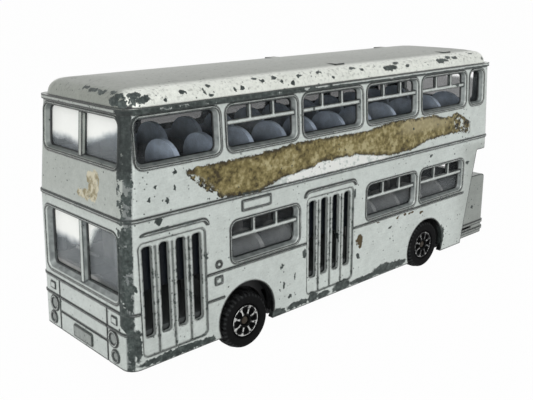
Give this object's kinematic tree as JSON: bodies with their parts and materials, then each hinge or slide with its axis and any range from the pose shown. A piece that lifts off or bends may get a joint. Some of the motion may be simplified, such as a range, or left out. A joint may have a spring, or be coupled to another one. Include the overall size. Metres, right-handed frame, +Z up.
{
  "type": "toy bus",
  "caption": "Die-cast toy double-decker bus: cast body riveted to a baseplate, clear window mouldings, seat mouldings on each deck, and wheels that turn on peened axles.",
  "frame": {"origin": "on the floor under the middle of the bus", "axes": "+X towards the front, +Y towards the side with the doors, +Z up"},
  "size_m": [0.1239, 0.0357, 0.0598],
  "materials": {
    "body_paint": "satin, worn and chipped",
    "base_paint": "satin",
    "lower_seats": "satin",
    "upper_seats": "satin",
    "glazing": "clear, lightly scratched",
    "axle_steel": "dulled",
    "wheel_plastic": "satin, foiled hub"
  },
  "bodies": {
    "bus": {"body_casting": "body_paint", "baseplate": "base_paint", "lower_deck": "lower_seats", "lower_glazing": "glazing", "upper_deck": "upper_seats", "upper_glazing": "glazing", "front_axle": "axle_steel", "rear_axle": "axle_steel"},
    "wheel_front_near": {"wheel_front_near": "wheel_plastic"},
    "wheel_front_far": {"wheel_front_far": "wheel_plastic"},
    "wheel_rear_near": {"wheel_rear_near": "wheel_plastic"},
    "wheel_rear_far": {"wheel_rear_far": "wheel_plastic"}
  },
  "joints": [
    {"name": "front_near_spin", "type": "hinge", "parent": "bus", "child": "wheel_front_near", "pos_m": [0.03187, 0.01465, 0.00645], "axis": [0, 1, 0], "continuous": true},
    {"name": "front_far_spin", "type": "hinge", "parent": "bus", "child": "wheel_front_far", "pos_m": [0.03187, -0.01465, 0.00645], "axis": [0, 1, 0], "continuous": true},
    {"name": "rear_near_spin", "type": "hinge", "parent": "bus", "child": "wheel_rear_near", "pos_m": [-0.03187, 0.01465, 0.00645], "axis": [0, 1, 0], "continuous": true},
    {"name": "rear_far_spin", "type": "hinge", "parent": "bus", "child": "wheel_rear_far", "pos_m": [-0.03187, -0.01465, 0.00645], "axis": [0, 1, 0], "continuous": true}
  ]
}
